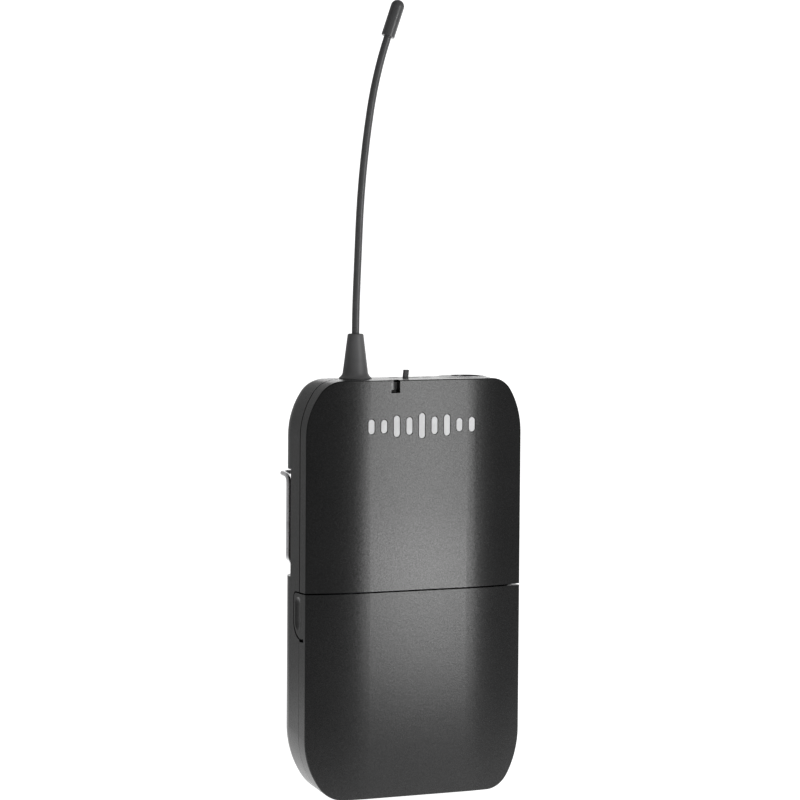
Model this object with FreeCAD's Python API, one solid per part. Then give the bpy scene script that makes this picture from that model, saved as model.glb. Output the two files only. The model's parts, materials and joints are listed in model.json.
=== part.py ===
import FreeCAD, Part
import math
import os

V = FreeCAD.Vector

# ---------------------------------------------------------------------------
# Wireless bodypack transmitter, millimetres.
# Frame: +Z up along the case, -Y is the front face, +X to the right of a
# person who looks at the front.  The origin is the centre of the bounding
# box's bottom face.  "Depth" is the distance behind the front plane.
# ---------------------------------------------------------------------------

# Case outline
BODY_W = 62.6
BODY_H = 110.0
SHELL_D = 20.0
WALL = 1.8
CORNER_R_END = 7.5           # corner arc that meets the top and bottom edges
CORNER_R_SIDE = 20.2         # corner arc that meets the straight sides
CORNER_SPLIT = math.radians(35.0)
CORNER_TAPER = 0.26          # growth of the lower corner arcs per unit of depth
TAPER_FROM_D = -1.5          # depth at which the lower corners match the upper ones
REAR_R = 6.9                 # rounding round the back face
FRONT_EDGE_R = 0.35
CROWN_FLAT = 14.0            # half width of the flat middle of the front
CROWN_DROP = 2.6             # how far the front falls back at the sides

# Where the case comes apart
GAP = 0.4
SPLIT_D = 6.3                # depth of the seam between front and rear parts
DOOR_Z = 54.5                # height of the seam above the battery door
DOOR_GAP = 0.1               # seam between the door's side walls and the rear housing
CAP_Z = 106.8                # the front housing carries the top plate above this
CAP_X = (-20.5, 25.6)        # extent of that top plate

# Belt clip wire
WIRE_D = 1.3
CLIP_GAP = 3.1
CLIP_BEND_R = 2.0
CLIP_X = 29.4
CLIP_RUN_D = 18.2
CLIP_FOOT_Z = 61.0
CLIP_BAR_Z = 84.6
CLIP_TONGUE_X = 11.0
CLIP_TONGUE_LOW_Z = 34.0
POCKET_X = 26.9
POCKET_D = 12.5
POCKET_Z = (58.2, 86.4)

OVERALL_D = SHELL_D + CLIP_GAP + WIRE_D
Y_FRONT = -OVERALL_D / 2

# Door hinge and latches
HINGE_R = 1.75
HINGE_D = SPLIT_D + GAP - HINGE_R - 0.15
HINGE_HALF = 15.4
LUG_W = 5.0
PIN_R = 0.7
RUN_CLEAR = 0.05
TAB_D = (4.8, 10.0)
TAB_Z = (42.5, DOOR_Z - GAP / 2)
TAB_T = 1.6
TAB_TRAVEL = 0.8
RELIEF_R = 0.5
SCOOP_D = 7.3
SCOOP_R = 5.0
SCOOP_DEEP = 0.4
SCOOP_Z = (46.6, 51.4)

# Antenna
ANT_X = -14.05
TOP_D = 10.0                 # depth of the row of parts on the top face
WHIP_R = 1.0
WHIP_START_Z = 103.0
BOOT_TOP_Z = 121.8
CAP_R = 1.78
CAP_L = 10.1
WHIP_BENDS = ((2.2, 300.0), (0.0, 15.8), (6.8, 265.0), (10.3, 111.0))

# Power switch, status light, microphone jack
SWITCH_X = 0.55
SWITCH_TRAVEL = 2.8
LIGHT_X = (-8.25, -5.7)
JACK_X = 18.3
JACK_R = 4.0
JACK_OUT_R = 5.0
BOSS_H = 0.15

# Battery bay and electronics
CELL_R = 7.25
CELL_L = 49.5
CELL_D = 10.4
CELL_X = (-18.2, -3.4)
SPRING_H = 2.3
CONTACT_T = 0.4
NUB_H = 1.0
BAY_FLOOR_Z = 4.0
BAY_TOP_Z = BAY_FLOOR_Z + SPRING_H + CELL_L + NUB_H + CONTACT_T
DIVIDER_X = (4.4, 5.4)
BOARD_HALF_W = 24.0
BOARD_Z = (60.0, 100.0)
BOARD_D = (8.6, 9.8)
BOARD_POSTS = ((-20.0, 63.5), (20.0, 63.5), (-20.0, 96.0), (7.0, 96.0))
SCREW_X = 26.6
SCREW_Z = 90.4
SCREW_R = 0.9

# Control panel behind the door
PANEL_X = (5.5, 28.0)
PANEL_Z = (6.0, 53.6)
PANEL_D = (6.0, 7.2)
WINDOW_X = (8.8, 21.8)
WINDOW_Z = (38.5, 47.5)
BUTTON_R = 2.4
BUTTON_X = (10.0, 20.6)
BUTTON_Z = 29.5
BUTTON_TRAVEL = 0.4
KNOB_X = 15.3
KNOB_Z = 17.0
KNOB_R = 3.2

# Generic mark on the front: a row of level bars
BADGE_X = 0.7
BADGE_Z = 97.9
BADGE_BARS = 9
BADGE_PITCH = 3.65
BADGE_BAR_W = 1.7
BADGE_DEEP = 0.45
BADGE_GROOVE = 0.22


# ------------------------------------------------------------------ helpers
def y_at(depth):
    return Y_FRONT + depth


def box(x, depth, z):
    """Box from three (low, high) pairs: across, behind the front plane, up."""
    corner = V(x[0], y_at(depth[0]), z[0])
    return Part.makeBox(x[1] - x[0], depth[1] - depth[0], z[1] - z[0], corner)


def rod_x(radius, x, depth, z):
    return Part.makeCylinder(radius, x[1] - x[0], V(x[0], y_at(depth), z), V(1, 0, 0))


def rod_y(radius, x, depth, z):
    return Part.makeCylinder(radius, depth[1] - depth[0], V(x, y_at(depth[0]), z), V(0, 1, 0))


def rod_z(radius, x, depth, z):
    return Part.makeCylinder(radius, z[1] - z[0], V(x, y_at(depth), z[0]), V(0, 0, 1))


def mirrored(shape):
    return shape.mirror(V(0, 0, 0), V(1, 0, 0))


def both_sides(shape):
    return [shape, mirrored(shape)]


def fused(shapes):
    return shapes[0].multiFuse(shapes[1:]).removeSplitter()


def arc_about(centre, radius, start, end):
    """Arc in the XZ plane between two angles, counted from +X towards +Z."""
    spots = []
    for angle in (start, (start + end) / 2, end):
        spots.append(centre + V(radius * math.cos(angle), 0, radius * math.sin(angle)))
    return Part.Arc(*spots).toShape()


# ------------------------------------------------------------- case surfaces
def corner_arcs(inset, growth):
    """Upper right corner as (side arc, end arc), both radii larger by growth."""
    spread = CORNER_R_SIDE - CORNER_R_END
    side_x = BODY_W / 2 - CORNER_R_SIDE - growth
    end_x = side_x + spread * math.cos(CORNER_SPLIT)
    end_z = BODY_H - CORNER_R_END - growth
    side_z = end_z - spread * math.sin(CORNER_SPLIT)
    side_arc = arc_about(V(side_x, 0, side_z), CORNER_R_SIDE + growth - inset, 0, CORNER_SPLIT)
    end_arc = arc_about(V(end_x, 0, end_z), CORNER_R_END + growth - inset, CORNER_SPLIT, math.pi / 2)
    return [side_arc, end_arc]


def outline_edges(inset, depth):
    """Front-view outline at one depth; the lower corners open up with depth."""
    middle = V(0, 0, BODY_H / 2)
    upper = corner_arcs(inset, 0.0)
    lower = corner_arcs(inset, CORNER_TAPER * (depth - TAPER_FROM_D))
    lower = [edge.mirror(middle, V(0, 0, 1)) for edge in lower]
    arcs = upper + lower
    arcs += [edge.mirror(middle, V(1, 0, 0)) for edge in arcs]
    side = BODY_W / 2 - inset
    top_x = max(v.X for v in upper[1].Vertexes if v.Z > BODY_H - inset - 0.01)
    low_x = max(v.X for v in lower[1].Vertexes if v.Z < inset + 0.01)
    top_z = min(v.Z for v in upper[0].Vertexes)
    low_z = max(v.Z for v in lower[0].Vertexes)
    lines = [
        Part.makeLine(V(side, 0, low_z), V(side, 0, top_z)),
        Part.makeLine(V(-side, 0, low_z), V(-side, 0, top_z)),
        Part.makeLine(V(-top_x, 0, BODY_H - inset), V(top_x, 0, BODY_H - inset)),
        Part.makeLine(V(-low_x, 0, inset), V(low_x, 0, inset)),
    ]
    edges = arcs + lines
    for edge in edges:
        edge.translate(V(0, y_at(depth), 0))
    return edges


def side_face(near, far):
    """Face between an outline edge and the matching edge further back."""
    if isinstance(near.Curve, Part.Line):
        a, b = [v.Point for v in near.Vertexes]
        c, d = [v.Point for v in far.Vertexes]
        return Part.Face(Part.makePolygon([a, b, d, c, a]))
    if abs(near.Curve.Radius - far.Curve.Radius) < 1e-6:
        return near.extrude(far.Vertexes[0].Point - near.Vertexes[0].Point)
    return Part.makeRuledSurface(near, far)


def outline_body(inset):
    """Body with the front-view outline, flat where the case is flat."""
    near = outline_edges(inset, -1.0)
    far = outline_edges(inset, SHELL_D - inset)
    faces = [side_face(a, b) for a, b in zip(near, far)]
    faces += [Part.Face(Part.Wire(Part.__sortEdges__(edges))) for edges in (near, far)]
    shell = Part.Shell(faces)
    shell.sewShape()
    return Part.Solid(shell)


def crown_prism(inset):
    """Plan section with the crowned front, drawn up through the whole height."""
    run = BODY_W / 2 - CROWN_FLAT
    crown_r = (run ** 2 + CROWN_DROP ** 2) / (2 * CROWN_DROP)
    reach = BODY_W / 2 + 1
    radius = crown_r - inset
    front = Y_FRONT + inset

    def crown_point(x):
        return V(x, Y_FRONT + crown_r - math.sqrt(radius ** 2 - (x - CROWN_FLAT) ** 2), -1)

    right = [V(CROWN_FLAT, front, -1), crown_point((CROWN_FLAT + reach) / 2), crown_point(reach)]
    left = [V(-p.x, p.y, p.z) for p in right]
    back = y_at(SHELL_D + 1)
    edges = [
        Part.makeLine(left[0], right[0]),
        Part.Arc(*right).toShape(),
        Part.makeLine(right[2], V(reach, back, -1)),
        Part.makeLine(V(reach, back, -1), V(-reach, back, -1)),
        Part.makeLine(V(-reach, back, -1), left[2]),
        Part.Arc(*left).toShape(),
    ]
    face = Part.Face(Part.Wire(Part.__sortEdges__(edges)))
    return face.extrude(V(0, 0, BODY_H + 2))


def case_solid(inset, edge_r=0.0):
    """The whole case as one solid, every face moved inwards by inset."""
    solid = outline_body(inset).common(crown_prism(inset))
    back = y_at(SHELL_D - inset)
    rear = [e for e in solid.Edges if all(abs(v.Y - back) < 1e-6 for v in e.Vertexes)]
    solid = solid.makeFillet(REAR_R - inset, rear)
    if edge_r > 0:
        limit = y_at(CROWN_DROP + 0.3)
        front = [e for e in solid.Edges if e.BoundBox.YMax < limit and is_rim(e)]
        solid = solid.makeFillet(edge_r, front)
    return solid


def is_rim(edge):
    """True for an edge on the outline, false for a crown line up the front."""
    box_ = edge.BoundBox
    upright = box_.ZLength > BODY_H / 2 and abs(box_.Center.x) < BODY_W / 2 - 1
    return not upright


# ------------------------------------------------------------------- housing
def badge_bar(index, margin, deep):
    """One upright bar with round ends, as a cutter or as an inlay."""
    place = index - (BADGE_BARS - 1) / 2
    half = 0.9 + 1.55 * math.cos(place * math.pi / (BADGE_BARS + 1)) ** 2
    if index % 2:
        half *= 0.62
    x = BADGE_X + place * BADGE_PITCH
    r = BADGE_BAR_W / 2 + margin
    stem = box((x - r, x + r), (-1, deep), (BADGE_Z - half, BADGE_Z + half))
    ends = [rod_y(r, x, (-1, deep), BADGE_Z + s * half) for s in (1, -1)]
    return fused([stem] + ends)


def front_badge(case):
    bars = []
    for index in range(BADGE_BARS):
        bars.append(badge_bar(index, 0.0, BADGE_DEEP).common(case))
    return Part.makeCompound(bars)


def jack_boss():
    """Low mound on the top face round the microphone jack."""
    centre = V(JACK_X - 1.2, y_at(TOP_D), BODY_H - 0.2)
    return Part.makeCone(7.6, 5.9, BOSS_H + 0.2, centre, V(0, 0, 1))


def switch_slot():
    x = (SWITCH_X - 0.85, SWITCH_X + SWITCH_TRAVEL + 1.15)
    return box(x, (TOP_D - 0.8, TOP_D + 0.8), (BODY_H - WALL - 1, BODY_H + 1))


def light_notch():
    open_front = box(LIGHT_X, (-1, 2.0), (BODY_H - 3.4, BODY_H + 1))
    pipe_seat = box(LIGHT_X, (1.9, 4.9), (BODY_H - 3.4, BODY_H - 0.6))
    return open_front.fuse(pipe_seat)


def front_housing(case, cavity):
    above_door = box((-40, 40), (-2, SPLIT_D), (DOOR_Z + GAP / 2, 120))
    top_cap = box(CAP_X, (-2, 40), (CAP_Z, 120))
    shell = case.cut(cavity).common(above_door.fuse(top_cap))
    seat = rod_z(7.0, JACK_X, TOP_D, (BODY_H - 5.4, BODY_H - 0.5)).common(case)
    pillar = rod_y(2.2, SCREW_X, (2.0, 15.2), SCREW_Z).common(case)
    body = fused([shell, jack_boss(), seat] + both_sides(pillar))
    cutters = [
        rod_z(JACK_OUT_R, JACK_X, TOP_D, (100, 112)),
        rod_z(2.2, ANT_X, TOP_D, (107, 112)),
        switch_slot(),
        light_notch(),
    ]
    cutters += both_sides(rod_y(SCREW_R, SCREW_X, (9.0, 16.0), SCREW_Z))
    for index in range(BADGE_BARS):
        cutters.append(badge_bar(index, BADGE_GROOVE, BADGE_DEEP))
    return body.cut(cutters)


def tab_outline(grow, x):
    """Side-view face of a latch tab at one X, grown by the seam gap."""
    front = y_at(TAB_D[0])
    rear = y_at(TAB_D[1]) + grow
    low = TAB_Z[0] - grow
    top = TAB_Z[1] + grow
    corner = 1.2 + grow
    points = [
        V(x, front, low),
        V(x, front + 1.0, low),
        V(x, front + 3.9 + grow, low + 1.5),
        V(x, rear, low + 5.0),
        V(x, rear, top - corner),
    ]
    low_curve = Part.Arc(points[1], points[2], points[3]).toShape()
    mid = V(x, rear - corner * (1 - math.sqrt(0.5)), top - corner * (1 - math.sqrt(0.5)))
    top_curve = Part.Arc(points[4], mid, V(x, rear - corner, top)).toShape()
    edges = [
        Part.makeLine(points[0], points[1]),
        low_curve,
        Part.makeLine(points[3], points[4]),
        top_curve,
        Part.makeLine(V(x, rear - corner, top), V(x, front, top)),
        Part.makeLine(V(x, front, top), points[0]),
    ]
    return Part.Face(Part.Wire(Part.__sortEdges__(edges)))


def tab_prism(grow, inner, outer):
    return tab_outline(grow, inner).extrude(V(outer - inner, 0, 0))


def seam_lip(case):
    """Rim of the rear housing that stands inside the front housing's edge."""
    inner = case_solid(WALL + 0.95)
    heights = (27.0, CAP_Z - 1.6)
    tongue = case_solid(WALL + 0.05).common(box((-40, 40), (SPLIT_D - 0.9, 8.2), heights))
    root = case.common(box((-40, 40), (SPLIT_D + GAP, 8.2), heights))
    ring = tongue.fuse(root).cut(inner)
    keep_clear = [
        box((20, 40), (-2, 40), (TAB_Z[0] - 1.5, TAB_Z[1] + 1.5)),
        box((20, 40), (-2, 40), (SCREW_Z - 2.8, SCREW_Z + 2.8)),
    ]
    for block in list(keep_clear):
        keep_clear.append(mirrored(block))
    return ring.cut(keep_clear)


def clip_pocket():
    return box((POCKET_X, 40), (POCKET_D, 40), POCKET_Z)


def pocket_walls(case):
    t = 1.5
    block = box((POCKET_X - t, 40), (POCKET_D - t, 40), (POCKET_Z[0] - t, POCKET_Z[1] + t))
    foot = box((POCKET_X - 5, 40), (CLIP_RUN_D - 1.7, 40), (CLIP_FOOT_Z - 2, CLIP_FOOT_Z + 2))
    return block.fuse(foot).common(case)


def hinge_lug(case):
    across = (HINGE_HALF + 0.3, HINGE_HALF + LUG_W)
    barrel = rod_x(HINGE_R - 0.05, across, HINGE_D, HINGE_R)
    web = box(across, (HINGE_D, 8.0), (0.3, 3.3))
    return barrel.fuse(web).common(case)


def rear_housing(case, cavity):
    half = box((-40, 40), (SPLIT_D + GAP, 40), (-2, 120))
    cap_room = box((CAP_X[0] - GAP, CAP_X[1] + GAP), (0, 40), (CAP_Z - GAP, 120))
    shell = case.cut(cavity).common(half).cut(cap_room)
    pieces = [shell, seam_lip(case)]
    pieces += both_sides(pocket_walls(case))
    pieces += both_sides(hinge_lug(case))
    pieces += both_sides(rod_y(2.6, SCREW_X, (15.4, 19.0), SCREW_Z).common(case))
    for x, z in BOARD_POSTS:
        pieces.append(rod_y(2.2, x, (BOARD_D[1], SHELL_D - 1.0), z))
    body = fused(pieces)
    foot_hole = rod_x(WIRE_D / 2 + RUN_CLEAR, (POCKET_X - 4, 40), CLIP_RUN_D, CLIP_FOOT_Z)
    cutters = []
    cutters += both_sides(clip_pocket())
    cutters += both_sides(foot_hole)
    cutters += both_sides(rod_y(1.1, SCREW_X, (14, 30), SCREW_Z))
    cutters += both_sides(rod_y(2.0, SCREW_X, (17, 30), SCREW_Z))
    cutters += both_sides(rod_x(PIN_R, (10, HINGE_HALF + LUG_W - 1.2), HINGE_D, HINGE_R))
    cutters += both_sides(tab_prism(GAP, BODY_W / 2 - 3.2, BODY_W / 2 + 1))
    cutters.append(box((-15, 15), (SHELL_D - 0.3, 30), (12, 30)))
    for x, z in BOARD_POSTS:
        cutters.append(rod_y(SCREW_R, x, (BOARD_D[1] - 1, 14.5), z))
    return body.cut(cutters)


def rear_label():
    return box((-14.9, 14.9), (SHELL_D - 0.3, SHELL_D - 0.05), (12.1, 29.9))


# ---------------------------------------------------------------------- door
def battery_door(case, cavity):
    below = box((-40, 40), (-2, SPLIT_D + GAP - DOOR_GAP), (-2, DOOR_Z - GAP / 2))
    shell = case.cut(cavity).common(below)
    behind_hinge = box((-HINGE_HALF - 0.2, HINGE_HALF + 0.2), (HINGE_D, 40), (-2, 4.2))
    by_lug = box((HINGE_HALF, HINGE_HALF + LUG_W + 0.3), (HINGE_D - 1.9, 40), (-2, 3.8))
    corner_room = box((HINGE_HALF, 40), (HINGE_D, 40), (-2, HINGE_R))
    corner_room = corner_room.cut(rod_x(HINGE_R + 0.08, (0, 50), HINGE_D, HINGE_R))
    shell = shell.cut([behind_hinge] + both_sides(by_lug) + both_sides(corner_room))
    barrel = rod_x(HINGE_R, (-HINGE_HALF, HINGE_HALF), HINGE_D, HINGE_R)
    body = shell.fuse(barrel).removeSplitter()
    cutters = both_sides(rod_x(PIN_R + RUN_CLEAR, (HINGE_HALF - 4.2, 30), HINGE_D, HINGE_R))
    cutters += both_sides(tab_prism(0.0, BODY_W / 2 - 3, BODY_W / 2 + 1))
    cutters += both_sides(tab_relief())
    return body.cut(cutters)


def tab_relief():
    """Short round-ended slot where the seam under a latch tab stops."""
    x = (BODY_W / 2 - 3, 40)
    d = (TAB_D[0] - 0.4, TAB_D[0] + 1.2)
    z = TAB_Z[0] - 0.35
    slot = box(x, d, (z - RELIEF_R, z + RELIEF_R))
    return fused([slot] + [rod_x(RELIEF_R, x, end, z) for end in d])


def door_latch(case):
    """Squeeze tab on the right side: finger scoop outside, hook inside."""
    side = BODY_W / 2
    tab = tab_prism(0.0, side - TAB_T, side + 1).common(case)
    hook = box((side - TAB_T - 0.8, side - TAB_T + 0.2), (7.5, 9.5), (49.5, 52.0))
    return tab.fuse(hook).removeSplitter().cut(scoop_cutter(side))


def scoop_cutter(side):
    """Long shallow finger scoop with round ends, cut into the tab's face."""
    lift = SCOOP_R - SCOOP_DEEP
    centre_d = y_at(SCOOP_D)
    body = rod_z(SCOOP_R, side + lift, SCOOP_D, SCOOP_Z)
    ends = [Part.makeSphere(SCOOP_R, V(side + lift, centre_d, z)) for z in SCOOP_Z]
    return fused([body] + ends)


def hinge_pins():
    across = (HINGE_HALF - 3.2, HINGE_HALF + LUG_W - 1.2)
    return Part.makeCompound(both_sides(rod_x(PIN_R, across, HINGE_D, HINGE_R)))


def door_foam_pad():
    return box((-11.8, -0.4), (WALL, WALL + 1.1), (22, 40))


# ------------------------------------------------------------------- antenna
def whip_path():
    """Centre line of the whip: upright in the boot, then bending to +X."""
    point = V(ANT_X, y_at(TOP_D), WHIP_START_Z)
    top = V(ANT_X, y_at(TOP_D), BOOT_TOP_Z)
    edges = [Part.makeLine(point, top)]
    point = top
    lean = 0.0
    for turn, size in WHIP_BENDS:
        if turn == 0:
            nxt = point + V(size * math.sin(lean), 0, size * math.cos(lean))
            edges.append(Part.makeLine(point, nxt))
        else:
            step = math.radians(turn)
            centre = point + V(size * math.cos(lean), 0, -size * math.sin(lean))
            spots = []
            for part in (0.5, 1.0):
                a = lean + step * part
                spots.append(centre + V(-size * math.cos(a), 0, size * math.sin(a)))
            edges.append(Part.Arc(point, spots[0], spots[1]).toShape())
            nxt = spots[1]
            lean += step
        point = nxt
    aim = V(math.sin(lean), 0, math.cos(lean))
    edges.append(Part.makeLine(point, point + aim * (CAP_L - 2.5)))
    return edges, point, aim


def pipe(edges, radius):
    """Round bar along a path of lines and tangent arcs."""
    wire = Part.Wire(edges)
    first = edges[0]
    start = first.valueAt(first.FirstParameter)
    along = first.tangentAt(first.FirstParameter)
    ring = Part.Wire(Part.makeCircle(radius, start, along))
    return wire.makePipeShell([ring], True, True)


def antenna_whip():
    edges, _, _ = whip_path()
    return pipe(edges, WHIP_R)


def antenna_tip_cap(whip):
    _, base, aim = whip_path()
    barrel = Part.makeCylinder(CAP_R, CAP_L - CAP_R, base, aim)
    dome = Part.makeSphere(CAP_R, base + aim * (CAP_L - CAP_R))
    return barrel.fuse(dome).removeSplitter().cut(whip)


def antenna_boot(whip):
    """Rubber boot: a stem through the top wall and a flared, tapered sleeve."""
    z0 = BODY_H
    profile = [
        V(0, 0, z0 - WALL), V(2.2, 0, z0 - WALL), V(2.2, 0, z0), V(4.3, 0, z0), V(4.3, 0, z0 + 0.25),
    ]
    edges = [Part.makeLine(profile[i], profile[i + 1]) for i in range(4)]
    flare_end = V(3.3, 0, z0 + 1.9)
    edges.append(Part.Arc(profile[4], V(3.6, 0, z0 + 0.95), flare_end).toShape())
    shoulder = V(2.12, 0, BOOT_TOP_Z - 0.4)
    edges.append(Part.makeLine(flare_end, shoulder))
    lip = V(1.7, 0, BOOT_TOP_Z)
    edges.append(Part.Arc(shoulder, V(2.0, 0, BOOT_TOP_Z - 0.12), lip).toShape())
    edges.append(Part.makeLine(lip, V(0, 0, BOOT_TOP_Z)))
    edges.append(Part.makeLine(V(0, 0, BOOT_TOP_Z), profile[0]))
    face = Part.Face(Part.Wire(edges))
    boot = face.revolve(V(0, 0, 0), V(0, 0, 1), 360)
    boot.translate(V(ANT_X, y_at(TOP_D), 0))
    return boot.cut(whip)


def antenna_socket(whip):
    body = rod_z(2.6, ANT_X, TOP_D, (WHIP_START_Z - 1, BODY_H - WALL))
    tail = rod_z(0.5, ANT_X, TOP_D, (BOARD_Z[1] + 0.1, WHIP_START_Z))
    return body.fuse(tail).removeSplitter().cut(whip)


# ------------------------------------------------------- top face components
def power_switch_knob():
    """Ribbed post that leans a little, on a slider block inside the switch."""
    foot_z = BODY_H - 2.6
    block = box((SWITCH_X - 1.5, SWITCH_X + 1.5), (TOP_D - 1.2, TOP_D + 1.2), (foot_z - 1.8, foot_z))
    low, high = foot_z - 0.2, BODY_H + 2.05
    lean = math.tan(math.radians(5.5))
    corners = []
    for z, side in ((low, -1), (low, 1), (high, 1), (high, -1)):
        x = SWITCH_X + (z - BODY_H) * lean + side * 0.6
        corners.append(V(x, y_at(TOP_D - 0.55), z))
    post = Part.Face(Part.makePolygon(corners + corners[:1])).extrude(V(0, 1.1, 0))
    return block.fuse(post).removeSplitter()


def power_switch_body():
    body = box((SWITCH_X - 4.0, SWITCH_X + 6.0), (TOP_D - 2.6, TOP_D + 2.6), (101, BODY_H - WALL))
    x = (SWITCH_X - 1.7, SWITCH_X + SWITCH_TRAVEL + 1.7)
    channel = box(x, (TOP_D - 1.3, TOP_D + 1.3), (BODY_H - 4.5, BODY_H))
    return body.cut(channel)


def status_light_pipe():
    return box((LIGHT_X[0] + 0.03, LIGHT_X[1] - 0.03), (2.0, 4.8), (BODY_H - 2.7, BODY_H - 0.65))


def status_led():
    return box((LIGHT_X[0] + 0.2, LIGHT_X[1] - 0.2), (4.8, 6.6), (BODY_H - 5.0, BODY_H - WALL - 0.2))


def jack_shell():
    top = BODY_H + BOSS_H + 0.05
    tube = rod_z(JACK_OUT_R, JACK_X, TOP_D, (94, top))
    bore = rod_z(JACK_R, JACK_X, TOP_D, (93, top + 1))
    key = box((JACK_X - 0.6, JACK_X + 0.6), (TOP_D + JACK_R - 0.8, TOP_D + JACK_R + 0.3), (98, top - 1.2))
    return tube.cut(bore).fuse(key).removeSplitter()


def pin_spots():
    spots = []
    for index in range(4):
        angle = math.pi / 4 + index * math.pi / 2
        spots.append((JACK_X + 1.8 * math.cos(angle), TOP_D + 1.8 * math.sin(angle)))
    return spots


def jack_insulator():
    disc = rod_z(JACK_R, JACK_X, TOP_D, (94, 98))
    return disc.cut([rod_z(0.55, x, d, (90, 110)) for x, d in pin_spots()])


def jack_pins():
    pins = []
    for x, d in pin_spots():
        shaft = rod_z(0.55, x, d, (91, 104.4))
        tip = Part.makeCone(0.55, 0.3, 0.6, V(x, y_at(d), 104.4), V(0, 0, 1))
        pins.append(shaft.fuse(tip).removeSplitter())
    return Part.makeCompound(pins)


def jack_nut():
    corners = []
    for index in range(7):
        angle = index * math.pi / 3
        corners.append(V(JACK_X + 6.6 * math.cos(angle), y_at(TOP_D) + 6.6 * math.sin(angle), 102.0))
    hexagon = Part.Face(Part.makePolygon(corners)).extrude(V(0, 0, BODY_H - 5.4 - 102.0))
    return hexagon.cut(rod_z(JACK_OUT_R, JACK_X, TOP_D, (100, 108)))


# ----------------------------------------------------------------- belt clip
def rounded_path(points, radius):
    """Lines through the points, joined by tangent arcs of one radius."""
    edges = []
    last = points[0]
    for before, corner, after in zip(points, points[1:], points[2:]):
        come = (corner - before).normalize()
        go = (after - corner).normalize()
        turn = come.getAngle(go)
        back = radius * math.tan(turn / 2)
        start = corner - come * back
        end = corner + go * back
        inward = (go - come).normalize()
        centre = corner + inward * (radius / math.cos(turn / 2))
        middle = centre - inward * radius
        edges.append(Part.makeLine(last, start))
        edges.append(Part.Arc(start, middle, end).toShape())
        last = end
    edges.append(Part.makeLine(last, points[-1]))
    return edges


def belt_clip():
    """One bent wire: feet in the pockets, a bar behind, a long tongue down."""
    bar_d = OVERALL_D - WIRE_D / 2
    half = [
        V(POCKET_X - 3.6, y_at(CLIP_RUN_D), CLIP_FOOT_Z),
        V(CLIP_X, y_at(CLIP_RUN_D), CLIP_FOOT_Z),
        V(CLIP_X, y_at(CLIP_RUN_D), CLIP_BAR_Z - 0.4),
        V(CLIP_X, y_at(bar_d), CLIP_BAR_Z),
        V(CLIP_TONGUE_X, y_at(bar_d), CLIP_BAR_Z),
        V(CLIP_TONGUE_X, y_at(bar_d - 1.8), CLIP_TONGUE_LOW_Z + 9),
        V(CLIP_TONGUE_X, y_at(bar_d - 0.6), CLIP_TONGUE_LOW_Z),
    ]
    other = [V(-p.x, p.y, p.z) for p in reversed(half)]
    return pipe(rounded_path(half + other, CLIP_BEND_R), WIRE_D / 2)


# --------------------------------------------------------------- battery bay
def battery(x, nub_up):
    z0 = BAY_FLOOR_Z + (SPRING_H if nub_up else CONTACT_T + NUB_H)
    can = rod_z(CELL_R, x, CELL_D, (z0, z0 + CELL_L))
    rims = [e for e in can.Edges if isinstance(e.Curve, Part.Circle)]
    can = can.makeFillet(0.6, rims)
    nub_z = (z0 + CELL_L, z0 + CELL_L + NUB_H) if nub_up else (z0 - NUB_H, z0)
    return can.fuse(rod_z(2.7, x, CELL_D, nub_z)).removeSplitter()


def coil_spring(x, z0):
    """Three turns of wire between a cell's flat end and the bay wall."""
    wire_r, coil_r, turns, steps = 0.25, 2.6, 3, 12
    rise = SPRING_H - 2 * wire_r
    spots = []
    for index in range(turns * steps + 1):
        angle = 2 * math.pi * index / steps
        height = wire_r + rise * index / (turns * steps)
        spots.append(V(coil_r * math.cos(angle), coil_r * math.sin(angle), height))
    curve = Part.BSplineCurve()
    curve.interpolate(spots)
    coil = pipe([curve.toShape()], wire_r)
    coil.translate(V(x, y_at(CELL_D), z0))
    return coil


def battery_springs():
    low = coil_spring(CELL_X[0], BAY_FLOOR_Z)
    high = coil_spring(CELL_X[1], BAY_TOP_Z - SPRING_H)
    return Part.makeCompound([low, high])


def battery_contacts():
    high_z = (BAY_TOP_Z - CONTACT_T, BAY_TOP_Z)
    low_z = (BAY_FLOOR_Z, BAY_FLOOR_Z + CONTACT_T)
    high = box((CELL_X[0] - 4, CELL_X[0] + 4), (6.5, 14.5), high_z)
    low = box((CELL_X[1] - 4, CELL_X[1] + 4), (8.4, 14.5), low_z)
    return Part.makeCompound([high, low])


def bay_frame(inner_space):
    ceiling = box((-25, 25), (3.2, 17.9), (BAY_TOP_Z, BAY_TOP_Z + 1.0))
    floor = box((-26, DIVIDER_X[1]), (8.2, 17.9), (BAY_FLOOR_Z - 1.2, BAY_FLOOR_Z))
    divider = box(DIVIDER_X, (5.2, 17.9), (BAY_FLOOR_Z + 1, BAY_TOP_Z + 0.5))
    divider_foot = box(DIVIDER_X, (8.2, 17.9), (BAY_FLOOR_Z - 0.5, BAY_FLOOR_Z + 2))
    return fused([ceiling, floor, divider, divider_foot]).common(inner_space)


# ------------------------------------------------------------- control panel
def control_panel(panel_space):
    plate = box(PANEL_X, PANEL_D, PANEL_Z).common(panel_space)
    cutters = [box(WINDOW_X, (4, 9), WINDOW_Z)]
    for x in BUTTON_X:
        cutters.append(rod_y(BUTTON_R + 0.1, x, (4, 9), BUTTON_Z))
    cutters.append(rod_y(KNOB_R + 0.1, KNOB_X, (4, 9), KNOB_Z))
    return plate.cut(cutters)


def display_window():
    return box(WINDOW_X, (PANEL_D[0] - 0.1, PANEL_D[1]), WINDOW_Z)


def display_module():
    x = (WINDOW_X[0] - 1, WINDOW_X[1] + 1)
    z = (WINDOW_Z[0] - 1.2, WINDOW_Z[1] + 1.2)
    return box(x, (PANEL_D[1], 9.4), z)


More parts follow.
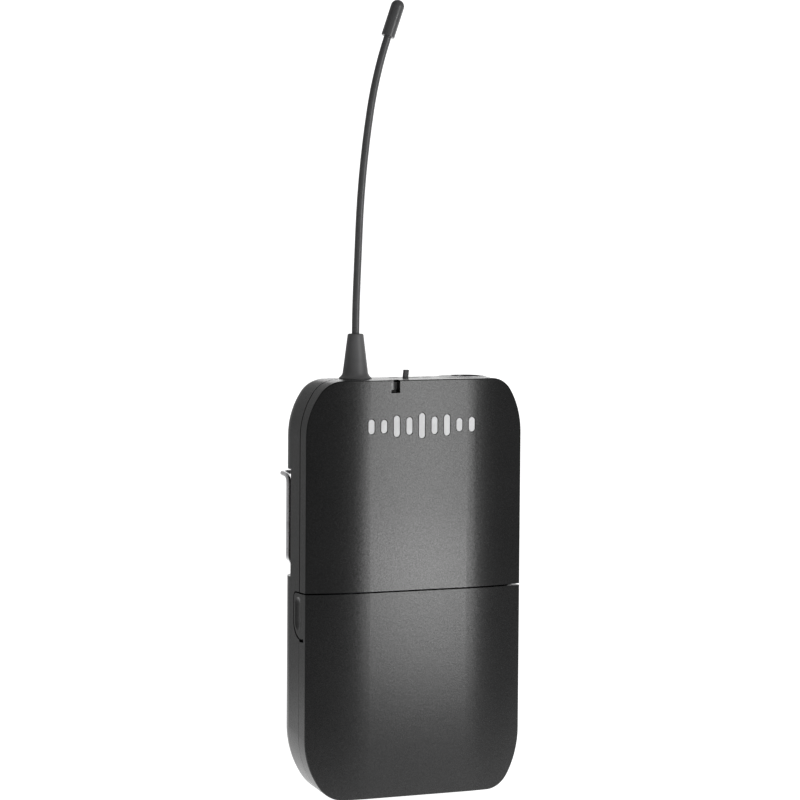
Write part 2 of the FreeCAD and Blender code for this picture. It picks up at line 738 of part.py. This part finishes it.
def push_button(x):
    """Round button with a slightly domed face and an inner flange."""
    stem = rod_y(BUTTON_R, x, (PANEL_D[0] - 0.7, 8.0), BUTTON_Z)
    rim = [e for e in stem.Edges if e.BoundBox.YMax < y_at(PANEL_D[0] - 0.6)]
    stem = stem.makeFillet(0.35, rim)
    return stem.fuse(rod_y(BUTTON_R + 0.5, x, (PANEL_D[1], 7.8), BUTTON_Z)).removeSplitter()


def button_switches():
    switches = []
    for x in BUTTON_X:
        base = box((x - 3, x + 3), (8.9, 9.4), (BUTTON_Z - 3, BUTTON_Z + 3))
        plunger = rod_y(1.4, x, (8.0 + BUTTON_TRAVEL + 0.1, 9.0), BUTTON_Z)
        switches.append(base.fuse(plunger).removeSplitter())
    return Part.makeCompound(switches)


def gain_knob():
    knob = rod_y(KNOB_R, KNOB_X, (PANEL_D[0] - 0.4, 7.9), KNOB_Z)
    slot = box((KNOB_X - 0.45, KNOB_X + 0.45), (4, PANEL_D[0] + 0.5), (KNOB_Z - 4, KNOB_Z + 4))
    return knob.cut(slot)


def gain_trimmer():
    return box((KNOB_X - 4, KNOB_X + 4), (7.9, 9.4), (KNOB_Z - 4, KNOB_Z + 4))


def control_board(inner_space):
    return box((DIVIDER_X[1] + 0.4, 27.0), (9.4, 10.4), (8.0, 52.0)).common(inner_space)


# -------------------------------------------------------- main circuit board
def main_board():
    board = box((-BOARD_HALF_W, BOARD_HALF_W), BOARD_D, BOARD_Z)
    jack_room = box((11.0, 30), (0, 20), (90.6, 120))
    holes = [rod_y(1.0, x, (8, 11), z) for x, z in BOARD_POSTS]
    return board.cut([jack_room] + holes)


def rf_shield():
    can = box((-16, 4), (5.6, BOARD_D[0]), (68, 91))
    return can.cut(box((-15.7, 3.7), (5.9, 9.0), (68.3, 90.7)))


def board_chips():
    rear = [
        ((-14, -6), (66, 74)), ((-2, 4), (70, 76)), ((8, 15), (78, 85)),
        ((-12, -4), (80, 88)), ((10, 16), (66, 70)), ((-1, 2), (84, 87)),
    ]
    front = [((8, 14), (66, 72)), ((9, 17), (78, 84)), ((-12, -9), (61.5, 65.5)), ((0, 5), (61, 65))]
    chips = [box(x, (BOARD_D[1], BOARD_D[1] + 1.3), z) for x, z in rear]
    chips += [box(x, (BOARD_D[0] - 1.3, BOARD_D[0]), z) for x, z in front]
    return Part.makeCompound(chips)


def screw(x, z, head_d, head_r, length):
    """Cross-head screw whose head's outer face looks to -Y."""
    head = rod_y(head_r, x, head_d, z)
    shaft = rod_y(SCREW_R, x, (head_d[1], head_d[1] + length), z)
    cross = []
    for wide, tall in ((0.5, 2.2), (2.2, 0.5)):
        x_pair = (x - wide / 2, x + wide / 2)
        cross.append(box(x_pair, (head_d[0] - 1, head_d[0] + 0.5), (z - tall / 2, z + tall / 2)))
    return head.fuse(shaft).removeSplitter().cut(cross)


def board_screws():
    return Part.makeCompound([screw(x, z, (7.6, BOARD_D[0]), 1.9, 5.0) for x, z in BOARD_POSTS])


def housing_screws():
    """Two screws from the back that draw the housings together."""
    screws = []
    for x in (-SCREW_X, SCREW_X):
        one = screw(x, SCREW_Z, (0.0, 1.0), 1.8, 7.2)
        turn_about = V(x, y_at(0.5), SCREW_Z)
        one.rotate(turn_about, V(0, 0, 1), 180)
        one.translate(V(0, 17.0, 0))
        screws.append(one)
    return Part.makeCompound(screws)


# --------------------------------------------------------------------- build
def build():
    case = case_solid(0.0, FRONT_EDGE_R)
    cavity = case_solid(WALL)
    inner_space = case_solid(WALL + 0.1)
    panel_space = case_solid(WALL + 1.1)
    whip = antenna_whip()
    latch = door_latch(case)
    return {
        "front_housing": front_housing(case, cavity),
        "rear_housing": rear_housing(case, cavity),
        "battery_door": battery_door(case, cavity),
        "door_latch_right": latch,
        "door_latch_left": mirrored(latch),
        "hinge_pins": hinge_pins(),
        "door_foam_pad": door_foam_pad(),
        "front_badge": front_badge(case),
        "rear_label": rear_label(),
        "antenna_whip": whip,
        "antenna_tip_cap": antenna_tip_cap(whip),
        "antenna_boot": antenna_boot(whip),
        "antenna_socket": antenna_socket(whip),
        "power_switch_knob": power_switch_knob(),
        "power_switch_body": power_switch_body(),
        "status_light_pipe": status_light_pipe(),
        "status_led": status_led(),
        "jack_shell": jack_shell(),
        "jack_insulator": jack_insulator(),
        "jack_pins": jack_pins(),
        "jack_nut": jack_nut(),
        "belt_clip": belt_clip(),
        "battery_left": battery(CELL_X[0], True),
        "battery_right": battery(CELL_X[1], False),
        "battery_springs": battery_springs(),
        "battery_contacts": battery_contacts(),
        "bay_frame": bay_frame(inner_space),
        "control_panel": control_panel(panel_space),
        "display_window": display_window(),
        "display_module": display_module(),
        "group_button": push_button(BUTTON_X[0]),
        "channel_button": push_button(BUTTON_X[1]),
        "button_switches": button_switches(),
        "gain_knob": gain_knob(),
        "gain_trimmer": gain_trimmer(),
        "control_board": control_board(inner_space),
        "main_board": main_board(),
        "rf_shield": rf_shield(),
        "board_chips": board_chips(),
        "board_screws": board_screws(),
        "housing_screws": housing_screws(),
    }


os.makedirs("parts", exist_ok=True)
for name, shape in build().items():
    shape.exportStep("parts/" + name + ".step")
    ok = shape.isValid() and all(s.isValid() for s in shape.Solids)
    print(name, "solids", len(shape.Solids), "volume", round(shape.Volume, 2), "valid", ok)
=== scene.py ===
import json
import math

import bpy
from mathutils import Matrix, Vector


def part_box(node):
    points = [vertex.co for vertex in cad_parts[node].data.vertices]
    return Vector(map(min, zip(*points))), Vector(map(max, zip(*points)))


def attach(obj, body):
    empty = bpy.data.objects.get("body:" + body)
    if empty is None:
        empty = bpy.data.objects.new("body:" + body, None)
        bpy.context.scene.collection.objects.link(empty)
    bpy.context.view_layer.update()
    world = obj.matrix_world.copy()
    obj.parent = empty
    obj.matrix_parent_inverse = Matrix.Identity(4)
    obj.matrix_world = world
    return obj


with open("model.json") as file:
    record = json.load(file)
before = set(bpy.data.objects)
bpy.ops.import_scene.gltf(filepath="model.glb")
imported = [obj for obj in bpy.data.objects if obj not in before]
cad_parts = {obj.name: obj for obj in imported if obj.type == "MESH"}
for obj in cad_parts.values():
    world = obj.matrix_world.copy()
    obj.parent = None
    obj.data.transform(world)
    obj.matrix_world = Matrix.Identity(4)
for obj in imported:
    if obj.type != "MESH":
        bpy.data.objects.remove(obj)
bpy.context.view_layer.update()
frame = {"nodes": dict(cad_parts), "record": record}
NODES = frame["nodes"]
MM = 0.001

# Camera: angles in degrees, lengths in millimetres
CAMERA_YAW = 25.44
CAMERA_PITCH = 3.73
CAMERA_ROLL = 0.41
CAMERA_AIM_Z = 55.0
CAMERA_DISTANCE = 892.9
CAMERA_SHIFT_RIGHT = 0.4
CAMERA_SHIFT_UP = 48.79
LENS = 150.9
SENSOR = 36.0

# The opened door reaches 3.1 mm below the base, so the paper lies lower than that
FLOOR_DROP = 0.0035
# Painted light on the paper: its own glow is a painted pool of light, white behind the object, with
# painted shade (dimmer glow) in front and far to the left
BACK_GLOW = 1.0
FRONT_GLOW = 0.1
FRONT_TO_BACK = (-0.12, -0.02)
LEFT_GLOW = 0.2
FAR_LEFT_TO_LEFT = (-0.19, -0.112)
LEFTWARD = (1.0, -0.34, 0.0)
PAPER_GREY = 0.6
ROOM_GLOW = 0.2
KEY_AZIMUTH = 25.0
STRIP_LIFT = 0.004
# Each strip light: distance from the object, width and height in metres, power in watts
KEY_STRIPS = ((0.30, 0.040, 0.30, 0.21), (0.303, 0.065, 0.30, 0.17), (0.16, 0.036, 0.05, 0.019))

# Moulded skin: size of its glints, and how much its gloss varies
GLINT_GRAIN = 0.00035
GLOSS_SPREAD = 0.05

# Printed marks, in millimetres
MARK_LENGTH = 2.4
MARK_WIDTH = 0.35
MARK_HEIGHT = 0.04
MARK_RISE = 0.01
MARK_ROW_OFFSET = 0.5
MARK_PLACES = {"off_mark": -3.4, "on_mark": 6.2}
TICKS = 7
TICK_FIRST = -135
TICK_STEP = 45
TICK_GAP = 1.0


# ------------------------------------------------------------------- camera
def add_camera():
    """Seen from the front left, a little above the case, with a long lens."""
    yaw = math.radians(CAMERA_YAW)
    pitch = math.radians(CAMERA_PITCH)
    roll = math.radians(CAMERA_ROLL)
    level_part = math.cos(pitch)
    forward = Vector((math.sin(yaw) * level_part, math.cos(yaw) * level_part, -math.sin(pitch)))
    level = Vector((math.cos(yaw), -math.sin(yaw), 0.0))
    upright = level.cross(forward)
    right = level * math.cos(roll) + upright * math.sin(roll)
    up = upright * math.cos(roll) - level * math.sin(roll)
    aim = Vector((0.0, 0.0, CAMERA_AIM_Z * MM))
    place = aim - forward * CAMERA_DISTANCE * MM
    place += right * CAMERA_SHIFT_RIGHT * MM + up * CAMERA_SHIFT_UP * MM
    data = bpy.data.cameras.new("camera")
    data.lens = LENS
    data.sensor_width = SENSOR
    data.clip_start = 0.01
    camera = bpy.data.objects.new("camera", data)
    axes = Matrix((right, up, -forward)).transposed().to_4x4()
    camera.matrix_world = Matrix.Translation(place) @ axes
    bpy.context.scene.collection.objects.link(camera)
    bpy.context.scene.camera = camera


# -------------------------------------------------------------------- stage
def add_area_light(name, place, target, size, power):
    data = bpy.data.lights.new(name, "AREA")
    data.shape = "RECTANGLE"
    data.size, data.size_y = size
    data.energy = power
    lamp = bpy.data.objects.new(name, data)
    lamp.location = place
    aim = Vector(target) - Vector(place)
    lamp.rotation_euler = aim.to_track_quat("-Z", "Y").to_euler()
    lamp.visible_camera = False
    bpy.context.scene.collection.objects.link(lamp)


def add_stage():
    """Pale sweep: a floor that curves up into a backdrop."""
    half, reach, rise, bend, steps = 6.0, 2.2, 3.0, 0.8, 12
    profile = [(-half, 0.0), (reach - bend, 0.0)]
    for step in range(1, steps + 1):
        angle = math.radians(90.0 * step / steps)
        profile.append((reach - bend + bend * math.sin(angle), bend - bend * math.cos(angle)))
    profile.append((reach, rise))
    verts = []
    for y, z in profile:
        verts += [(-half, y, z), (half, y, z)]
    faces = [(2 * i, 2 * i + 1, 2 * i + 3, 2 * i + 2) for i in range(len(profile) - 1)]
    mesh = bpy.data.meshes.new("floor")
    mesh.from_pydata(verts, [], faces)
    mesh.shade_smooth()
    floor = bpy.data.objects.new("floor", mesh)
    floor.location.z = -FLOOR_DROP
    bpy.context.scene.collection.objects.link(floor)
    mesh.materials.append(stage_paper())


def stage_paper():
    """Pale paper with painted light: its own glow is a painted pool of light, brightest behind the object,
    with painted shade in front and far to the left.
    """
    material, tree, shader = new_material("stage_paper")
    behind = remap(tree, along_floor(tree, (0.0, 1.0, 0.0)), *FRONT_TO_BACK, FRONT_GLOW, BACK_GLOW)
    leftward = remap(tree, along_floor(tree, LEFTWARD), *FAR_LEFT_TO_LEFT, LEFT_GLOW, 1.0)
    # painted light: the emission strength is a painted pool of light behind the case and painted shade in
    # front and far left
    glow = multiply(tree, behind, leftward)
    shader.inputs["Base Color"].default_value = (PAPER_GREY, PAPER_GREY, PAPER_GREY, 1)
    shader.inputs["Roughness"].default_value = 0.9
    shader.inputs["Specular IOR Level"].default_value = 0.1
    shader.inputs["Emission Color"].default_value = (1, 1, 1, 1)
    tree.links.new(glow, shader.inputs["Emission Strength"])
    return material


def along_floor(tree, direction):
    """Distance along one direction in the paper's own coordinates, from under the case."""
    where = add_node(tree, "ShaderNodeTexCoord")
    node = add_node(tree, "ShaderNodeVectorMath", operation="DOT_PRODUCT")
    node.inputs[1].default_value = direction
    tree.links.new(where.outputs["Object"], node.inputs[0])
    return node.outputs["Value"]


def add_lights():
    azimuth = math.radians(KEY_AZIMUTH)
    for index, (reach, width, height, power) in enumerate(KEY_STRIPS):
        level = height / 2 + STRIP_LIFT
        place = Vector((reach * math.sin(azimuth), -reach * math.cos(azimuth), level))
        add_area_light("strip_box_" + str(index), place, (0.0, 0.0, level), (width, height), power)
    world = bpy.data.worlds.new("studio")
    world.use_nodes = True
    back = world.node_tree.nodes["Background"]
    back.inputs["Color"].default_value = (1, 1, 1, 1)
    back.inputs["Strength"].default_value = ROOM_GLOW
    bpy.context.scene.world = world
    bpy.context.scene.view_settings.view_transform = "Standard"


# ---------------------------------------------------------------- materials
def new_material(name):
    material = bpy.data.materials.new(name)
    material.use_nodes = True
    tree = material.node_tree
    shader = tree.nodes["Principled BSDF"]
    return material, tree, shader


def set_inputs(node, values):
    for key, value in values.items():
        node.inputs[key].default_value = value


def add_node(tree, kind, values=None, **settings):
    node = tree.nodes.new(kind)
    for key, value in settings.items():
        setattr(node, key, value)
    set_inputs(node, values or {})
    return node


def noise(tree, grain, detail=3.0):
    """Noise in the piece's own coordinates whose grain is a size in metres."""
    where = add_node(tree, "ShaderNodeTexCoord")
    node = add_node(tree, "ShaderNodeTexNoise",
                    {"Scale": 1.0 / grain, "Detail": detail, "Roughness": 0.55})
    tree.links.new(where.outputs["Object"], node.inputs["Vector"])
    return node.outputs["Fac"]


def remap(tree, value, low, high, to_low, to_high):
    node = add_node(tree, "ShaderNodeMapRange",
                    {"From Min": low, "From Max": high, "To Min": to_low, "To Max": to_high})
    tree.links.new(value, node.inputs["Value"])
    return node.outputs["Result"]


def multiply(tree, first, second):
    node = add_node(tree, "ShaderNodeMath", operation="MULTIPLY")
    tree.links.new(first, node.inputs[0])
    tree.links.new(second, node.inputs[1])
    return node.outputs["Value"]


def mix_colour(tree, factor, first, second):
    node = add_node(tree, "ShaderNodeMix", data_type="RGBA")
    node.inputs["A"].default_value = (*first, 1)
    node.inputs["B"].default_value = (*second, 1)
    tree.links.new(factor, node.inputs["Factor"])
    return node.outputs["Result"]


def bump(tree, shader, height, depth, after=None):
    node = add_node(tree, "ShaderNodeBump", {"Strength": 1.0, "Distance": depth})
    tree.links.new(height, node.inputs["Height"])
    if after is not None:
        tree.links.new(after, node.inputs["Normal"])
    tree.links.new(node.outputs["Normal"], shader.inputs["Normal"])
    return node.outputs["Normal"]


def moulded_plastic(name, dark, light, roughness, texture_depth, speckle, grain=0.00035):
    """Moulded plastic: spark-eroded skin with patchy colour, uneven gloss and fine glints."""
    material, tree, shader = new_material(name)
    patches = noise(tree, 0.012, 4.0)
    colour = mix_colour(tree, remap(tree, patches, 0.35, 0.65, 0, 1), dark, light)
    tree.links.new(colour, shader.inputs["Base Color"])
    speck = noise(tree, grain * 0.6, 2.0)
    sheen = remap(tree, speck, 0.3, 0.7, roughness - GLOSS_SPREAD, roughness + GLOSS_SPREAD)
    tree.links.new(sheen, shader.inputs["Roughness"])
    shader.inputs["IOR"].default_value = 1.5
    glint = remap(tree, noise(tree, GLINT_GRAIN, 2.0), 0.3, 0.7, 0.5 - speckle, 0.5 + speckle)
    tree.links.new(glint, shader.inputs["Specular IOR Level"])
    coarse = bump(tree, shader, noise(tree, grain * 2.2, 2.0), texture_depth * 1.5)
    bump(tree, shader, noise(tree, grain, 3.0), texture_depth, after=coarse)
    return material


def rubbery(name, colour, roughness):
    """Rubber or foam: soft patches, uneven sheen and a fine skin."""
    material, tree, shader = new_material(name)
    patches = noise(tree, 0.004, 4.0)
    lighter = tuple(c * 1.5 + 0.002 for c in colour)
    tree.links.new(mix_colour(tree, patches, colour, lighter), shader.inputs["Base Color"])
    sheen = remap(tree, noise(tree, 0.0012, 3.0), 0.3, 0.7, roughness - 0.06, roughness + 0.08)
    tree.links.new(sheen, shader.inputs["Roughness"])
    bump(tree, shader, noise(tree, 0.0004, 3.0), 0.000012)
    return material


def metal(name, colour, roughness, grain=0.0006):
    """Plated or brushed metal with a fine drawn grain and dull spots."""
    material, tree, shader = new_material(name)
    dull = tuple(c * 0.72 for c in colour)
    tarnish = remap(tree, noise(tree, 0.003, 5.0), 0.5, 0.75, 0, 1)
    tree.links.new(mix_colour(tree, tarnish, colour, dull), shader.inputs["Base Color"])
    shader.inputs["Metallic"].default_value = 1.0
    sheen = remap(tree, noise(tree, grain, 4.0), 0.3, 0.7, roughness * 0.7, roughness * 1.4)
    tree.links.new(sheen, shader.inputs["Roughness"])
    bump(tree, shader, noise(tree, grain * 0.5, 2.0), 0.000006)
    return material


def gloss(name, dark, light, roughness, coat=0.0):
    """Smooth plastic, film or lacquer with faint patches and ripples."""
    material, tree, shader = new_material(name)
    patches = remap(tree, noise(tree, 0.006, 4.0), 0.3, 0.7, 0, 1)
    tree.links.new(mix_colour(tree, patches, dark, light), shader.inputs["Base Color"])
    sheen = remap(tree, noise(tree, 0.001, 3.0), 0.3, 0.7, roughness * 0.8, roughness * 1.3)
    tree.links.new(sheen, shader.inputs["Roughness"])
    shader.inputs["Coat Weight"].default_value = coat
    bump(tree, shader, noise(tree, 0.0008, 2.0), 0.000008)
    return material


def smoked_window():
    material, tree, shader = new_material("window_smoke")
    tint = mix_colour(tree, noise(tree, 0.003, 3.0), (0.06, 0.02, 0.02), (0.09, 0.03, 0.03))
    tree.links.new(tint, shader.inputs["Base Color"])
    sheen = remap(tree, noise(tree, 0.0015, 3.0), 0.3, 0.7, 0.05, 0.12)
    tree.links.new(sheen, shader.inputs["Roughness"])
    shader.inputs["Transmission Weight"].default_value = 0.75
    shader.inputs["IOR"].default_value = 1.49
    return material


# Moulded plastics: darker and lighter colour, roughness, texture depth in metres, glint strength
CASE_DARK = (0.0058, 0.006, 0.0062)
CASE_LIGHT = (0.0082, 0.0084, 0.0086)
MOULDED = {
    "case_plastic": (CASE_DARK, CASE_LIGHT, 0.24, 0.000008, 0.12),
    "door_plastic": (CASE_DARK, CASE_LIGHT, 0.26, 0.000008, 0.12),
    "tab_plastic": (CASE_DARK, CASE_LIGHT, 0.24, 0.000008, 0.12),
    "inner_plastic": ((0.010, 0.010, 0.011), (0.013, 0.013, 0.014), 0.45, 0.00001, 0.05),
    "panel_grey": ((0.030, 0.030, 0.032), (0.036, 0.036, 0.038), 0.42, 0.00001, 0.05),
    "button_grey": ((0.30, 0.31, 0.32), (0.34, 0.35, 0.36), 0.4, 0.000006, 0.05),
    "knob_white": ((0.60, 0.60, 0.57), (0.66, 0.66, 0.63), 0.4, 0.000006, 0.05),
    "switch_plastic": ((0.022, 0.022, 0.023), (0.03, 0.03, 0.031), 0.4, 0.00001, 0.05),
    "chip_black": ((0.012, 0.012, 0.013), (0.016, 0.016, 0.017), 0.5, 0.000006, 0.05),
    "jack_plastic": ((0.009, 0.009, 0.009), (0.012, 0.012, 0.012), 0.5, 0.000006, 0.05),
    "label_film": ((0.10, 0.10, 0.105), (0.115, 0.115, 0.12), 0.38, 0.000004, 0.05),
}
# Rubbers and foam: colour, roughness
RUBBERY = {
    "elastomer": ((0.085, 0.085, 0.087), 0.3),
    "boot_rubber": ((0.12, 0.12, 0.122), 0.5),
    "foam": ((0.02, 0.02, 0.02), 0.85),
}
# Glossy surfaces: darker and lighter colour, roughness, clear coat
GLOSSY = {
    "badge_grey": ((0.78, 0.785, 0.79), (0.86, 0.865, 0.87), 0.38, 0.0),
    "light_lens": ((0.26, 0.265, 0.265), (0.3, 0.305, 0.305), 0.3, 0.0),
    "led_epoxy": ((0.6, 0.6, 0.55), (0.7, 0.7, 0.64), 0.15, 0.0),
    "battery_jacket": ((0.05, 0.055, 0.065), (0.065, 0.07, 0.08), 0.22, 0.4),
    "display_dark": ((0.012, 0.012, 0.012), (0.016, 0.016, 0.016), 0.2, 0.0),
    "board_green": ((0.012, 0.07, 0.03), (0.02, 0.10, 0.045), 0.25, 0.3),
}
# Metals: colour, roughness
METALS = {
    "spring_steel": ((0.90, 0.90, 0.91), 0.34),
    "spring_nickel": ((0.68, 0.67, 0.65), 0.25),
    "jack_metal": ((0.30, 0.30, 0.31), 0.3),
    "contact_gold": ((0.80, 0.60, 0.27), 0.2),
    "brass": ((0.70, 0.52, 0.24), 0.3),
    "zinc_steel": ((0.52, 0.52, 0.54), 0.34),
    "black_zinc": ((0.05, 0.05, 0.055), 0.38),
    "tin": ((0.6, 0.6, 0.59), 0.35),
}


def make_materials():
    made = {"window_smoke": smoked_window()}
    for maker, group in ((moulded_plastic, MOULDED), (rubbery, RUBBERY), (gloss, GLOSSY), (metal, METALS)):
        for name, values in group.items():
            made[name] = maker(name, *values)
    return made


def dress_nodes(materials):
    """Every CAD node takes the material of its slot; the door and boot differ a little in finish."""
    for part in frame["record"]["subparts"]:
        piece = NODES[part["node"]]
        piece.data.materials.clear()
        piece.data.materials.append(materials[part["material_slot"]])
    NODES["battery_door"].data.materials[0] = materials["door_plastic"]
    NODES["antenna_boot"].data.materials[0] = materials["boot_rubber"]


def add_plate(name, centre, size, body, material):
    """Thin flat rectangular plate, fixed to one body."""
    mesh = bpy.data.meshes.new(name)
    half = [side / 2 for side in size]
    corners = [
        (centre[0] + x * half[0], centre[1] + y * half[1], centre[2] + z * half[2])
        for x in (-1, 1) for y in (-1, 1) for z in (-1, 1)
    ]
    faces = [(0, 1, 3, 2), (4, 6, 7, 5), (0, 4, 5, 1), (2, 3, 7, 6), (0, 2, 6, 4), (1, 5, 7, 3)]
    mesh.from_pydata(corners, [], faces)
    piece = bpy.data.objects.new(name, mesh)
    bpy.context.collection.objects.link(piece)
    piece.data.materials.append(material)
    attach(piece, body)


def add_top_marks(materials):
    """Printed marks either side of the power switch, in place of words."""
    low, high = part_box("power_switch_knob")
    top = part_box("rear_housing")[1].z
    middle = (low.x + high.x) / 2
    depth = (low.y + high.y) / 2
    size = (MARK_LENGTH * MM, MARK_WIDTH * MM, MARK_HEIGHT * MM)
    for name, shift in MARK_PLACES.items():
        for row, side in enumerate((-1, 1)):
            y = depth + side * MARK_ROW_OFFSET * MM
            centre = (middle + shift * MM, y, top + MARK_RISE * MM)
            add_plate(f"{name}_{row}", centre, size, "case", materials["chip_black"])


def add_gain_ticks(materials):
    """Short raised ticks round the gain control on the panel."""
    low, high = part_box("gain_knob")
    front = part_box("control_panel")[0].y
    x, z = (low.x + high.x) / 2, (low.z + high.z) / 2
    reach = (high.x - low.x) / 2 + TICK_GAP * MM
    size = (MARK_WIDTH * MM, MARK_HEIGHT * MM, MARK_WIDTH * MM)
    for step in range(TICKS):
        angle = math.radians(TICK_FIRST + TICK_STEP * step)
        centre = (x + reach * math.sin(angle), front, z + reach * math.cos(angle))
        add_plate(f"gain_tick_{step}", centre, size, "case", materials["button_grey"])


add_camera()
add_stage()
add_lights()
materials = make_materials()
dress_nodes(materials)
add_top_marks(materials)
add_gain_ticks(materials)
